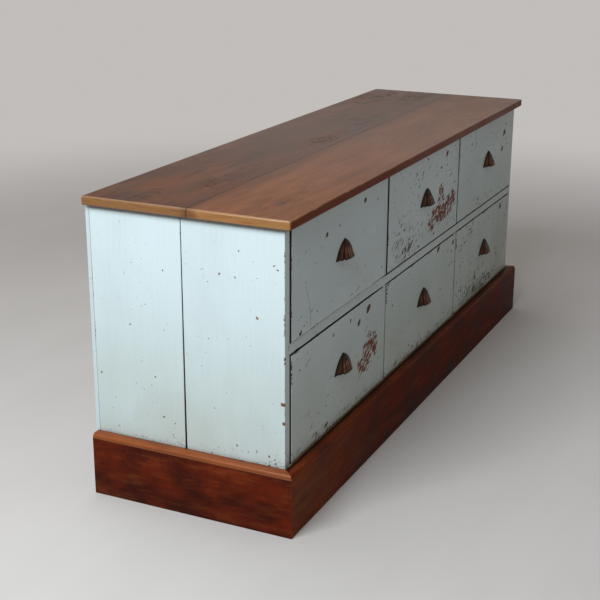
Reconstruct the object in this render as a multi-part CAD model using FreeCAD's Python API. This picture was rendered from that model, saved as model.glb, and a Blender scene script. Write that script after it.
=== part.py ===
import FreeCAD, Part
import math
import os

from FreeCAD import Vector

# Low shop chest of drawers in painted pine: six drawers in two rows of three.
# Everything is drawn with X along the length, Y from front to back and Z up, in mm.
# X is 0 at mid-length, Y is 0 on the front face of the drawers and Z is 0 on the floor.
# The finished pieces are then moved so that the origin is under the middle of the whole.

# Carcass
bay_width = 525.0
opening_height = 253.0
case_depth = 472.0
end_thickness = 24.0
divider_thickness = 20.0
rail_thickness = 24.0
rail_depth = 60.0
bottom_thickness = 20.0
housing_depth = 8.0
runner_width = 20.0

# Each end is two upright boards that have shrunk apart, most at the foot
end_joint_from_front = 245.0
end_gap_foot = 5.0
end_gap_head = 1.0

# Back boards, laid lengthwise
back_thickness = 10.0
back_board_count = 4
back_board_gap = 1.0

# Top
top_thickness = 21.0
top_front_overhang = 17.0
top_end_overhang = 15.0
top_front_board_width = 238.0
top_edge_radius = 3.0

# Plinth
plinth_height = 149.0
plinth_thickness = 25.0
plinth_quirk = 1.4
plinth_round = 7.5
plinth_short_of_back = 6.0
plinth_block_leg = 32.0
plinth_block_length = 80.0
plinth_block_count = 6

# Drawer boxes
front_thickness = 22.0
side_thickness = 12.0
box_back_thickness = 12.0
panel_thickness = 8.0
panel_height_in_side = 12.0
panel_groove = 5.0
front_edge_chamfer = 1.0
gap_at_left = 3.5
gap_at_right = 1.0
gap_above = 2.5
gap_below = {"lower": 2.8, "upper": 1.4}
gap_behind = 5.0
running_gap = 0.3
side_below_front_top = 3.0

# Dovetails
front_tail_count = 4
back_tail_count = 4
front_lap = 7.0
tail_share = 0.80
tail_slope = math.radians(11.0)

# Drawer stops
stop_width = 40.0
stop_depth = 24.0
stop_height = 8.0
stop_from_side = 60.0

# Cut brads, headless and tapered, set in below the surface and filled over
brad_length = 38.0
brad_head_width = 4.0
brad_tip_width = 1.6
brad_thickness = 3.0
brad_from_board_edge = 45.0
brad_set_in = 3.0
brad_stagger = 14.0
brads_along_runner = 2

# Shell pull: a fluted fan, pointed at the top, that opens downwards as a finger hollow
pull_foot_width = 96.0
pull_height = 44.0
pull_projection = 19.5
pull_rim = 1.6
pull_wall = 2.4
pull_foot_flare = 5.0
pull_flute_count = 7
pull_flute_ratio = 0.055
pull_fluted_share = 0.8
pull_lip_scallop = 1.6
pull_bend = 1.15
pull_fan_fullness = 0.8
pull_flare_sharpness = 6
pull_bell_flatness = 4
pull_bell_steepness = 4.7
pull_hollow_from_tip = 18.5
pull_hollow_share = 0.93
pull_line_shares = (0.02, 0.10, 0.28, 0.52, 0.78, 1.0)
pull_hollow_line_count = 3
points_per_flute = 3
pull_off_centre = 13.5
pull_tip_height = {"lower": 164.5, "upper": 160.0}

# Pull screw
screw_from_tip = 12.5
screw_head_radius = 4.0
screw_head_edge = 0.6
screw_shank_radius = 1.9
screw_cone_length = 2.4
screw_length = 25.0
screw_sunk = 0.8

columns = ["left", "middle", "right"]
rows = ["lower", "upper"]

# Sizes that follow from those above
inner_length = len(columns) * bay_width + (len(columns) - 1) * divider_thickness
case_length = inner_length + 2 * end_thickness
case_height = plinth_height + len(rows) * opening_height + rail_thickness
rail_bottom = plinth_height + opening_height
row_base = {"lower": plinth_height, "upper": rail_bottom + rail_thickness}
case_back = case_depth + back_thickness
bay_pitch = bay_width + divider_thickness
front_reach = max(plinth_thickness, top_front_overhang, pull_projection)
box_depth = case_depth - gap_behind


def box(x, y, z):
    """A block between the low and high values given for each axis."""
    size = [span[1] - span[0] for span in (x, y, z)]
    return Part.makeBox(*size, Vector(x[0], y[0], z[0]))


def face_of(points):
    """A flat face inside a closed outline of straight lines."""
    return Part.Face(Part.makePolygon(points + [points[0]]))


def near(first, second):
    """Whether two distances are the same, but for rounding."""
    return abs(first - second) < 0.01


def panels_between(above, below):
    """Flat three-cornered faces between two lines of as many points each."""
    faces = []
    for index in range(len(above) - 1):
        corners = [above[index], above[index + 1], below[index + 1], below[index]]
        if corners[0].distanceToPoint(corners[2]) > corners[1].distanceToPoint(corners[3]):
            corners = corners[1:] + corners[:1]
        faces.append(face_of(corners[:3]))
        faces.append(face_of(corners[2:] + corners[:1]))
    return faces


def board_across(outline, x):
    """A board with an outline in Y and Z, between two values of X."""
    points = [Vector(x[0], y, z) for y, z in outline]
    return face_of(points).extrude(Vector(x[1] - x[0], 0, 0))


def cut_all(shape, tools):
    """The shape less every tool that is given."""
    for tool in tools:
        shape = shape.cut(tool)
    return shape


def edges_where(shape, wanted):
    """The edges whose middle passes the test."""
    return [edge for edge in shape.Edges if wanted(edge.CenterOfMass)]


def bay_span(column):
    """The two faces that a column of drawers runs between."""
    low = -inner_length / 2 + columns.index(column) * bay_pitch
    return (low, low + bay_width)


def cut_brad():
    """One brad, point down, below the surface that it is driven through at Z = 0."""
    head = brad_head_width / 2
    tip = brad_tip_width / 2
    foot = -brad_set_in - brad_length
    profile = [(head, -brad_set_in), (tip, foot), (-tip, foot), (-head, -brad_set_in)]
    points = [Vector(x, -brad_thickness / 2, z) for x, z in profile]
    return face_of(points).extrude(Vector(0, brad_thickness, 0))


def top_brads():
    """Two brads in each top board over every end and divider."""
    support_x = [-case_length / 2 + end_thickness / 2, case_length / 2 - end_thickness / 2]
    for index in range(len(columns) - 1):
        support_x.append(bay_span(columns[index])[1] + divider_thickness / 2)
    places = [brad_from_board_edge,
              top_split - brad_from_board_edge,
              top_split + brad_from_board_edge,
              case_depth - brad_from_board_edge]
    brads = []
    for x in support_x:
        for y in places:
            brad = cut_brad()
            brad.rotate(Vector(0, 0, 0), Vector(0, 0, 1), 90)
            brad.translate(Vector(x, y, case_height + top_thickness))
            brads.append(brad)
    return brads


def runner_brads():
    """Brads through each runner into the end or divider, clear of those opposite."""
    brads = []
    spacing = (case_depth - rail_depth) / brads_along_runner
    for column in columns:
        low, high = bay_span(column)
        for face_x, turn in ((low + runner_width, 90), (high - runner_width, -90)):
            for index in range(brads_along_runner):
                y = rail_depth + (index + 0.5) * spacing + math.copysign(brad_stagger, turn)
                brad = cut_brad()
                brad.rotate(Vector(0, 0, 0), Vector(0, 1, 0), turn)
                brad.translate(Vector(face_x, y, rail_bottom + rail_thickness / 2))
                brads.append(brad)
    return brads


# Top boards, edge to edge, with the outer edges eased
top_split = top_front_board_width - top_front_overhang
top_x = (-case_length / 2 - top_end_overhang, case_length / 2 + top_end_overhang)
top_z = (case_height, case_height + top_thickness)


def top_board(y, outer_y):
    board = box(top_x, y, top_z)

    def outer(point):
        on_end = near(abs(point.x), top_x[1])
        on_side = near(point.y, outer_y)
        on_face = near(point.z, top_z[0]) or near(point.z, top_z[1])
        return (on_end and (on_face or on_side)) or (on_side and on_face)

    return board.makeFillet(top_edge_radius, edges_where(board, outer))


# End boards: the gap between the front and rear board widens towards the foot
def end_board(side, position):
    inner = side * inner_length / 2
    outer = side * case_length / 2
    outer_edge = 0.0 if position == "front" else case_depth
    away = -1 if position == "front" else 1
    foot = end_joint_from_front + away * end_gap_foot / 2
    head = end_joint_from_front + away * end_gap_head / 2
    outline = [(outer_edge, 0), (foot, 0), (head, case_height), (outer_edge, case_height)]
    return board_across(outline, (min(inner, outer), max(inner, outer)))


# Housed across the ends: bottom board and middle rail
housed_x = (-inner_length / 2 - housing_depth, inner_length / 2 + housing_depth)
bottom_board = box(housed_x, (0, case_depth), (plinth_height - bottom_thickness, plinth_height))
mid_rail = box(housed_x, (0, rail_depth), (rail_bottom, rail_bottom + rail_thickness))


def divider(index):
    low = bay_span(columns[index])[1]
    return box((low, low + divider_thickness), (0, case_depth), (plinth_height, case_height))


# Runners behind the middle rail, one along each face of every upper bay
def drawer_runners():
    runners = []
    for column in columns:
        low, high = bay_span(column)
        for x in ((low, low + runner_width), (high - runner_width, high)):
            runners.append(box(x, (rail_depth, case_depth),
                               (rail_bottom, rail_bottom + rail_thickness)))
    return runners


# Stops behind the drawer fronts, low enough to pass under the drawer bottoms
def drawer_stops():
    stops = []
    y = (front_thickness + running_gap, front_thickness + running_gap + stop_depth)
    for row in rows:
        for column in columns:
            low, high = bay_span(column)
            for x in (low + stop_from_side, high - stop_from_side - stop_width):
                stops.append(box((x, x + stop_width), y,
                                 (row_base[row], row_base[row] + stop_height)))
    return stops


def back_boards():
    boards = []
    pitch = (case_height + back_board_gap) / back_board_count
    for index in range(back_board_count):
        z = (index * pitch, (index + 1) * pitch - back_board_gap)
        boards.append(box((-case_length / 2, case_length / 2), (case_depth, case_back), z))
    return boards


# Plinth: one moulded section, mitred at the two front corners
def plinth_section(place):
    """The section as a face. place turns (distance outwards, height) into a point."""
    shoulder = plinth_height - plinth_round
    quirk_foot = shoulder - plinth_quirk
    round_out = plinth_thickness - plinth_quirk
    middle = plinth_round * math.sqrt(0.5)
    arc_centre = round_out - plinth_round
    arc = Part.Arc(place(round_out, shoulder),
                   place(arc_centre + middle, shoulder + middle),
                   place(arc_centre, plinth_height))
    corners = [(arc_centre, plinth_height), (0, plinth_height), (0, 0),
               (plinth_thickness, 0), (plinth_thickness, quirk_foot),
               (round_out, quirk_foot), (round_out, shoulder)]
    lines = Part.makePolygon([place(out, up) for out, up in corners])
    return Part.Face(Part.Wire([arc.toShape()] + lines.Edges))


def plan_prism(outline):
    """A block as high as the plinth, with an outline in X and Y."""
    points = [Vector(x, y, 0) for x, y in outline]
    return face_of(points).extrude(Vector(0, 0, plinth_height))


plinth_end = case_back - plinth_short_of_back
plinth_half = case_length / 2
plinth_reach = plinth_half + plinth_thickness


def plinth_front():
    section = plinth_section(lambda out, up: Vector(-plinth_reach, -out, up))
    length = section.extrude(Vector(2 * plinth_reach, 0, 0))
    mitres = plan_prism([(-plinth_reach, -plinth_thickness), (plinth_reach, -plinth_thickness),
                         (plinth_half, 0), (-plinth_half, 0)])
    return length.common(mitres)


def plinth_side(side):
    section = plinth_section(
        lambda out, up: Vector(side * (plinth_half + out), -plinth_thickness, up))
    length = section.extrude(Vector(0, plinth_end + plinth_thickness, 0))
    mitre = plan_prism([(side * plinth_reach, -plinth_thickness), (side * plinth_half, 0),
                        (side * plinth_half, plinth_end), (side * plinth_reach, plinth_end)])
    return length.common(mitre)


def plinth_blocks():
    """Triangular glue blocks between the plinth and the bottom board."""
    top = plinth_height - bottom_thickness
    outline = [(0, top), (0, top - plinth_block_leg), (plinth_block_leg, top)]
    pitch = inner_length / plinth_block_count
    blocks = []
    for index in range(plinth_block_count):
        start = -inner_length / 2 + (index + 0.5) * pitch - plinth_block_length / 2
        blocks.append(board_across(outline, (start, start + plinth_block_length)))
    return blocks


# Dovetails: the outline of one end of a drawer side, from its foot upwards
def tails(low, high, count, root_y, tip_y):
    pitch = (high - low) / count
    tip_half = pitch * tail_share / 2
    root_half = tip_half - abs(tip_y - root_y) * math.tan(tail_slope)
    points = [(root_y, low)]
    for index in range(count):
        middle = low + (index + 0.5) * pitch
        points.append((root_y, middle - root_half))
        points.append((tip_y, middle - tip_half))
        points.append((tip_y, middle + tip_half))
        points.append((root_y, middle + root_half))
    points.append((root_y, high))
    return points


def drawer(row, column):
    """The six wooden pieces and the fittings of one drawer, by the end of their names."""
    low, high = bay_span(column)
    base = row_base[row]
    x = (low + gap_at_left, high - gap_at_right)
    front_z = (base + gap_below[row], base + opening_height - gap_above)
    side_z = (base + running_gap, front_z[1] - side_below_front_top)
    panel_z = (side_z[0] + panel_height_in_side,
               side_z[0] + panel_height_in_side + panel_thickness)

    front_tails = tails(front_z[0], side_z[1], front_tail_count, front_thickness, front_lap)
    back_tails = tails(panel_z[1], side_z[1], back_tail_count,
                       box_depth - box_back_thickness, box_depth)
    outline = ([(front_thickness, side_z[0]), (box_depth, side_z[0]), (box_depth, panel_z[1])]
               + back_tails + list(reversed(front_tails)))
    left_side = board_across(outline, (x[0], x[0] + side_thickness))
    right_side = board_across(outline, (x[1] - side_thickness, x[1]))

    edge = side_thickness - panel_groove
    panel = box((x[0] + edge, x[1] - edge), (front_thickness - panel_groove, box_depth), panel_z)
    back = box(x, (box_depth - box_back_thickness, box_depth), (panel_z[1], side_z[1]))
    front = box(x, (0, front_thickness), front_z)
    face_edges = edges_where(front, lambda middle: near(middle.y, 0))
    front = front.makeChamfer(front_edge_chamfer, face_edges)

    tip = Vector((low + high) / 2 + pull_off_centre, 0, base + pull_tip_height[row])
    screw = pull_screw()
    screw.translate(tip)
    pull = shell_pull()
    pull.translate(tip)

    return {
        "front": cut_all(front, [left_side, right_side, panel, screw]),
        "left_side": left_side.cut(panel),
        "right_side": right_side.cut(panel),
        "back": cut_all(back, [left_side, right_side]),
        "bottom": panel,
        "pull": pull,
        "pull_screw": screw,
    }


# Shell pull, drawn with its tip at the origin and its hollow open downwards
def pull_half_width(depth):
    """Half the width of the fan at a depth below the tip, with its feet flared out."""
    share = depth / pull_height
    fan = math.sin(math.pi / 2 * min(share, 1.0)) ** pull_fan_fullness
    flare = pull_foot_flare * share ** pull_flare_sharpness
    return (pull_foot_width / 2 - pull_foot_flare) * fan + flare


def pull_rise(depth):
    """How far the middle of the shell stands out at a depth below the tip."""
    rise = math.sin(pull_bend * depth / pull_height) / math.sin(pull_bend)
    return pull_rim + (pull_projection - pull_rim) * rise


def bell(share):
    """1 in the middle of the shell, falling to 0 at the feet in a spread foot."""
    return (1 - share ** pull_bell_flatness) ** pull_bell_steepness


def fluting(share):
    """1 in the bottom of each flute, 0 on the ribs and beyond the fluted part."""
    if abs(share) >= pull_fluted_share:
        return 0.0
    turns = pull_flute_count * (share / pull_fluted_share + 1) / 2
    return (1 + math.cos(2 * math.pi * turns)) / 2


def shares_across():
    """Where the points of a line across the shell lie, from -1 at one foot to 1 at the other."""
    count = pull_flute_count * points_per_flute
    ear = (1 + pull_fluted_share) / 2
    fluted = [pull_fluted_share * (2 * step / count - 1) for step in range(count + 1)]
    return [-1.0, -ear] + fluted + [ear, 1.0]


def shell_line(depth, scallop):
    """The fluted line across the shell, with its flutes ending a scallop higher than its ribs."""
    half = pull_half_width(depth)
    points = []
    for share in shares_across():
        flute = fluting(share)
        out = pull_rim + (pull_rise(depth) - pull_rim) * bell(share)
        drawn_in = 1 - pull_flute_ratio * flute
        points.append(Vector(half * share * drawn_in, -out * drawn_in, scallop * flute - depth))
    left = Vector(points[0].x, 0, -depth)
    right = Vector(points[-1].x, 0, -depth)
    return [left] + points + [right]


def hollow_line(depth, scallop):
    """The plain line across the inside of the finger hollow, from drawer front to drawer front."""
    half = pull_half_width(depth) * pull_hollow_share - pull_wall / 2
    rise = pull_rise(depth) * (1 - pull_flute_ratio) - pull_wall
    return [Vector(half * share, -rise * bell(share), scallop * fluting(share) - depth)
            for share in shares_across()]


def screw_plane():
    """How far out the head of the pull screw lies."""
    return pull_rise(screw_from_tip) - screw_sunk


def pull_screw():
    head = -screw_plane()
    profile = [(0, head), (screw_head_radius, head), (screw_head_radius, head + screw_head_edge),
               (screw_shank_radius, head + screw_head_edge + screw_cone_length),
               (screw_shank_radius, head + screw_length), (0, head + screw_length)]
    points = [Vector(radius, y, -screw_from_tip) for radius, y in profile]
    return face_of(points).revolve(Vector(0, 0, -screw_from_tip), Vector(0, 1, 0), 360)


def shell_pull():
    outer = [shell_line(pull_height * share, 0) for share in pull_line_shares[:-1]]
    outer.append(shell_line(pull_height, pull_lip_scallop))
    pitch = (pull_height - pull_hollow_from_tip) / (pull_hollow_line_count - 1)
    inner = [hollow_line(pull_hollow_from_tip + index * pitch, 0)
             for index in range(pull_hollow_line_count - 1)]
    inner.append(hollow_line(pull_height, pull_lip_scallop))

    faces = [face_of(outer[0]), face_of(inner[0])]
    for lines in (outer, inner):
        for above, below in zip(lines, lines[1:]):
            faces += panels_between(above, below)
    faces += panels_between(outer[-1][1:-1], inner[-1])
    faces.append(face_of([outer[-1][0], outer[-1][1], inner[-1][0]]))
    faces.append(face_of([outer[-1][-1], outer[-1][-2], inner[-1][-1]]))
    left_edge = [line[0] for line in outer] + [line[0] for line in reversed(inner)]
    right_edge = [line[-1] for line in inner] + [line[-1] for line in reversed(outer)]
    faces.append(face_of(left_edge + right_edge))
    shell = Part.Solid(Part.Shell(faces))

    way_in = Part.makeCylinder(screw_head_radius, pull_projection,
                               Vector(0, -screw_plane() - pull_projection, -screw_from_tip),
                               Vector(0, 1, 0))
    return cut_all(shell, [way_in, pull_screw()])


def build():
    """Every piece of the chest, by name, as one or more separate solids."""
    nodes = {}
    brads_in_top = top_brads()
    brads_in_runners = runner_brads()
    rear_edge = case_back
    nodes["top_front_board"] = cut_all(
        top_board((-top_front_overhang, top_split), -top_front_overhang), brads_in_top)
    nodes["top_rear_board"] = cut_all(
        top_board((top_split, rear_edge), rear_edge), brads_in_top)

    housed = [bottom_board, mid_rail]
    for side, side_name in ((-1, "left"), (1, "right")):
        for position in ("front", "rear"):
            board = end_board(side, position)
            nodes["end_%s_%s_board" % (side_name, position)] = cut_all(
                board, housed + brads_in_top + brads_in_runners)
        nodes["plinth_" + side_name] = plinth_side(side)
    for index, name in enumerate(["divider_left", "divider_right"]):
        nodes[name] = cut_all(divider(index), [mid_rail] + brads_in_top + brads_in_runners)

    nodes["mid_rail"] = mid_rail
    nodes["bottom_board"] = bottom_board
    nodes["back_boards"] = back_boards()
    nodes["drawer_runners"] = [cut_all(runner, brads_in_runners) for runner in drawer_runners()]
    nodes["drawer_stops"] = drawer_stops()
    nodes["plinth_front"] = plinth_front()
    nodes["plinth_blocks"] = plinth_blocks()
    nodes["cut_brads"] = brads_in_top + brads_in_runners

    for row in rows:
        for column in columns:
            for piece, shape in drawer(row, column).items():
                nodes["%s_%s_drawer_%s" % (row, column, piece)] = shape
    return nodes


def main():
    os.makedirs("parts", exist_ok=True)
    middle = (case_back - front_reach) / 2
    for name, solids in build().items():
        if isinstance(solids, list):
            shape = Part.makeCompound(solids)
        else:
            shape = solids
        shape.translate(Vector(0, -middle, 0))
        shape.exportStep("parts/%s.step" % name)
        print("%-34s %2d solids %10.1f cm3" % (name, len(shape.Solids), shape.Volume / 1000))


main()
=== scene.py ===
import math

import bmesh
import bpy
from mathutils import Matrix, Vector, noise


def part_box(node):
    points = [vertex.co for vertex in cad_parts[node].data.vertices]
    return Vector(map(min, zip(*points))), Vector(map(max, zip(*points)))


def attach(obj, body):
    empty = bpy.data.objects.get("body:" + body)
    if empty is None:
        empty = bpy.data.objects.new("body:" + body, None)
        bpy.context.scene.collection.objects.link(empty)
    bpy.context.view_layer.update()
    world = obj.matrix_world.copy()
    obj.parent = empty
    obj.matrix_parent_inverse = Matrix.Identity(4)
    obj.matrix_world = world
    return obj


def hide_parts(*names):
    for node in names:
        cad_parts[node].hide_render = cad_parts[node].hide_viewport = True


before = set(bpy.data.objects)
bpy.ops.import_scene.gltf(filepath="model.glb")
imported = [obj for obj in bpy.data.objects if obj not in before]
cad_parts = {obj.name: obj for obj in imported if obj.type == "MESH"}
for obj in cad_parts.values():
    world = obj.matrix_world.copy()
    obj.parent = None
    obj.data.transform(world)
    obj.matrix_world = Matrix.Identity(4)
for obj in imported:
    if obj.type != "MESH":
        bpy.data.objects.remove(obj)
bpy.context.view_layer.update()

# Low shop chest of drawers in painted pine. Lengths are in metres, X runs along the chest,
# Y from front to back and Z up from the floor, with the origin under its middle.
# The pieces follow in the order in which the chest is put together.
# The small wander of boards and nails is drawn from one seed, so every run gives the same.
wander_seed = 6
noise.seed_set(wander_seed)


# Camera
# It stands off the near left corner, 1.3 m above the floor, with a long lens, so the end
# is seen nearly square on and the drawers run away steeply to the right.
camera_place = Vector((-2.9442, -1.2533, 1.3113))
camera_heading = math.radians(64.817)
camera_dip = math.radians(18.402)
camera_tilt = math.radians(0.201)
sensor_width = 36.0
lens_length = 73.09

ahead = Vector((math.sin(camera_heading) * math.cos(camera_dip),
                math.cos(camera_heading) * math.cos(camera_dip),
                -math.sin(camera_dip)))
level_right = Vector((math.cos(camera_heading), -math.sin(camera_heading), 0))
level_up = level_right.cross(ahead)
right = level_right * math.cos(camera_tilt) + level_up * math.sin(camera_tilt)
up = level_up * math.cos(camera_tilt) - level_right * math.sin(camera_tilt)
camera = bpy.data.objects.new("camera", bpy.data.cameras.new("camera"))
camera.data.sensor_width = sensor_width
camera.data.lens = lens_length
camera.matrix_world = (Matrix.Translation(camera_place)
                       @ Matrix((right, up, -ahead)).transposed().to_4x4())
bpy.context.scene.collection.objects.link(camera)
bpy.context.scene.camera = camera
bpy.context.scene.view_settings.view_transform = "Standard"


# Floor and studio light
# A plain pale floor that fades into a plain background some way off. Daylight comes
# softly from beyond the left end, and the room gives the rest back, a little warmer.
background_colour = (0.535, 0.515, 0.495, 1)
floor_colour = (0.58, 0.55, 0.53, 1)
floor_shade = (0.51, 0.48, 0.46, 1)
floor_reach = 30.0
floor_fade_start = 1.5
floor_fade_end = 4.0
room_colour = (1.0, 0.95, 0.90, 1)
room_strength = 0.235
window_colour = (0.88, 0.95, 1.0)
window_place = Vector((-3.05, 0.25, 2.7))
window_size = (2.2, 1.3)
window_power = 138.0
overhead_colour = (1, 1, 1)
overhead_place = Vector((0.1, 0.9, 3.0))
overhead_size = (2.4, 1.6)
overhead_power = 22.0
chest_middle = Vector((-0.2, 0, 0.38))


class Field:
    """A number, place or colour that changes over a surface. Its sums become shader nodes."""

    def __init__(self, socket):
        self.socket = socket

    def __add__(self, other):
        return calc("ADD", self, other)

    def __sub__(self, other):
        return calc("SUBTRACT", self, other)

    def __rsub__(self, other):
        return calc("SUBTRACT", other, self)

    def __mul__(self, other):
        return calc("MULTIPLY", self, other)

    def __truediv__(self, other):
        return calc("DIVIDE", self, other)

    def __abs__(self):
        return calc("ABSOLUTE", self)


def fill(node, values):
    """Fills the sockets of a shader node with fields or plain values."""
    for name, value in values.items():
        if isinstance(value, Field):
            node.id_data.links.new(value.socket, node.inputs[name])
        else:
            node.inputs[name].default_value = value


def put(kind, values=None, output=0, tree=None, **settings):
    """Adds a filled shader node, beside its first field, and returns one output as a field."""
    values = values or {}
    fields = [value for value in values.values() if isinstance(value, Field)]
    node = (tree or fields[0].socket.id_data).nodes.new("ShaderNode" + kind)
    for name, value in settings.items():
        setattr(node, name, value)
    fill(node, values)
    return Field(node.outputs[output])


def calc(operation, *values):
    """One sum on fields or plain numbers."""
    return put("Math", dict(enumerate(values)), operation=operation)


def vector(operation, *values, output="Vector"):
    """One sum on places."""
    return put("VectorMath", dict(enumerate(values)), output, operation=operation)


def strongest(shares):
    """The greatest of several shares."""
    total = shares[0]
    for share in shares[1:]:
        total = calc("MAXIMUM", total, share)
    return total


def fade(value, start, end, low=0.0, high=1.0):
    """A smooth step from low, where the value is start, to high, where it is end."""
    return put("MapRange", {"Value": value, "From Min": start, "From Max": end,
                            "To Min": low, "To Max": high}, interpolation_type="SMOOTHSTEP")


def mottle(where, fineness, detail=3.0, roughness=0.55, shift=(0, 0, 0)):
    """Cloudy noise from 0 to 1, as fine as one number says, or one for each axis."""
    scale = fineness if isinstance(fineness, tuple) else (fineness,) * 3
    moved = put("Mapping", {"Vector": where, "Scale": scale, "Location": shift})
    return put("TexNoise", {"Vector": moved, "Scale": 1.0, "Detail": detail,
                            "Roughness": roughness})


def layered(colour, *layers):
    """A colour with others laid over it in turn. Each layer is (share, colour)."""
    for share, over in layers:
        colour = put("Mix", {0: share, 6: colour, 7: over}, 2, data_type="RGBA")
    return colour


def new_material(name, sheen=0.5):
    """A material with one Principled shader. Returns it, the shader and the place on it."""
    material = bpy.data.materials.new(name)
    material.use_nodes = True
    tree = material.node_tree
    tree.nodes.clear()
    surface = put("BsdfPrincipled", {"Specular IOR Level": sheen}, tree=tree)
    fill(tree.nodes.new("ShaderNodeOutputMaterial"), {"Surface": surface})
    return material, surface.socket.node, put("TexCoord", output="Object", tree=tree)


def as_object(name, shape, material=None):
    """Puts a mesh in the making into the scene."""
    mesh = bpy.data.meshes.new(name)
    shape.to_mesh(mesh)
    shape.free()
    if material:
        mesh.materials.append(material)
    made = bpy.data.objects.new(name, mesh)
    bpy.context.scene.collection.objects.link(made)
    return made


def lamp(name, place, size, power, colour):
    """A soft rectangular lamp that faces the chest."""
    light = bpy.data.lights.new(name, "AREA")
    light.shape = "RECTANGLE"
    light.size, light.size_y = size
    light.energy = power
    light.color = colour
    holder = bpy.data.objects.new(name, light)
    holder.location = place
    holder.rotation_euler = (chest_middle - place).to_track_quat("-Z", "Y").to_euler()
    bpy.context.scene.collection.objects.link(holder)


def seen_or_mirrored(tree):
    """1 for what is seen straight on, in a gloss or through glass, 0 for what only lights."""
    return strongest([put("LightPath", output="Is %s Ray" % kind, tree=tree)
                      for kind in ("Camera", "Glossy", "Transmission")])


floor_finish, shader, where = new_material("pale_floor")
floor_tree = floor_finish.node_tree
fill(shader, {"Base Color": layered(floor_shade, (mottle(where, (1.6, 4.8, 1.6)), floor_colour)),
              "Roughness": 0.75})
away = fade(vector("LENGTH", where, output="Value"), floor_fade_start, floor_fade_end)
glow = put("Emission", {"Color": background_colour}, tree=floor_tree)
both = put("MixShader", {0: away * seen_or_mirrored(floor_tree), 1: Field(shader.outputs[0]),
                         2: glow})
fill(floor_tree.nodes["Material Output"], {"Surface": both})
disc = bmesh.new()
bmesh.ops.create_circle(disc, cap_ends=True, segments=96, radius=floor_reach)
as_object("floor", disc, floor_finish)

room = bpy.data.worlds.new("room")
bpy.context.scene.world = room
room.use_nodes = True
room_tree = room.node_tree
room_tree.nodes.clear()
lighting = put("Background", {"Color": room_colour, "Strength": room_strength}, tree=room_tree)
shown = put("Background", {"Color": background_colour, "Strength": 1.0}, tree=room_tree)
both = put("MixShader", {0: seen_or_mirrored(room_tree), 1: lighting, 2: shown})
fill(room_tree.nodes.new("ShaderNodeOutputWorld"), {"Surface": both})

lamp("window", window_place, window_size, window_power, window_colour)
lamp("overhead", overhead_place, overhead_size, overhead_power, overhead_colour)


# Plinth
# Three pine boards round the foot, mitred at the front corners and glued to blocks behind.
# The top edge is run to a half-round over a small quirk. Dark red-brown varnish, worn thin
# and orange on the moulding and wherever boots and brooms have knocked it.
plinth_front_low, plinth_front_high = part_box("plinth_front")
plinth_top = plinth_front_high.z
plinth_reach_x = plinth_front_high.x
plinth_reach_y = -plinth_front_low.y
plinth_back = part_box("plinth_left")[1].y
plinth_thickness = 0.025
plinth_quirk = 0.0014
plinth_round = 0.0075
plinth_foot_round = 0.0016
plinth_arris = 0.0005
front_of_case = -plinth_reach_y + plinth_thickness
end_of_case = plinth_reach_x - plinth_thickness
round_steps = 7
moulding_pitch = 0.035
moulding_wander = 0.0005
knock_fineness = 23
knock_limit = 0.25
moulding_crease = math.radians(32)
varnish_dark = (0.034, 0.0048, 0.0018, 1)
varnish_brown = (0.104, 0.0118, 0.0022, 1)
varnish_worn = (0.262, 0.071, 0.018, 1)
varnish_edge_and_highlight = (0.30, 0.115, 0.045, 1)
varnish_dirt_and_shade = (0.010, 0.0055, 0.004, 1)
varnish_sheen = {"x": 0.02, "y": 0.06}
ledge_bared = {"x": 0.14, "y": 0.9}
ledge_dirt_and_shade_width = {"x": 0.008, "y": 0.0015}


def turned_along(where, along, lean, shift):
    """The place on a board with X turned to run along its grain."""
    turns = {"x": (0, 0, 0), "y": (0, 0, -math.pi / 2), "z": (0, math.pi / 2, 0)}
    turn = [base + extra for base, extra in zip(turns[along], lean)]
    return put("Mapping", {"Vector": where, "Rotation": turn, "Location": shift})


def growth_rings(place, pitch, sway, knots=()):
    """0 to 1 across each yearly ring round the X axis, swaying, and bulging round knots."""
    flat = put("Mapping", {"Vector": place, "Scale": (0, 1, 1)})
    radius = vector("LENGTH", flat, output="Value") + mottle(place, (1.6, 9, 9), 2.0) * sway
    radius = radius + mottle(place, (14, 60, 60), 2.0) * (pitch * 0.8)
    for near, size in knots:
        radius = radius + calc("EXPONENT", calc("POWER", near, 2.0) * -1.0) * size
    wet_years = put("TexNoise", {"W": radius, "Scale": 0.35 / pitch, "Detail": 1.0},
                    noise_dimensions="1D")
    return calc("FRACT", radius / pitch + wet_years * 3.2)


def summer_wood(rings):
    """How dark the wood is across one ring: slowly darker, then quickly pale again."""
    return fade(rings, 0.15, 0.86) * fade(rings, 0.88, 1.0, 1.0, 0.0)


def split(where):
    """The X, Y and Z of a place."""
    return [Field(socket) for socket in put("SeparateXYZ", {0: where}).socket.node.outputs]


def edge_distance(where, low, high):
    """How far a point on the surface of a board lies from the nearest of its edges."""
    middle = (low + high) / 2
    outwards = vector("ABSOLUTE", vector("SUBTRACT", where, middle))
    x, y, z = split(vector("SUBTRACT", high - middle, outwards))
    return calc("MAXIMUM", calc("MINIMUM", x, y), calc("MINIMUM", calc("MAXIMUM", x, y), z))


def relief(height):
    """The tilt of a surface that rises by a height in metres."""
    return put("Bump", {"Strength": 1.0, "Distance": 1.0, "Height": height})


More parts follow.
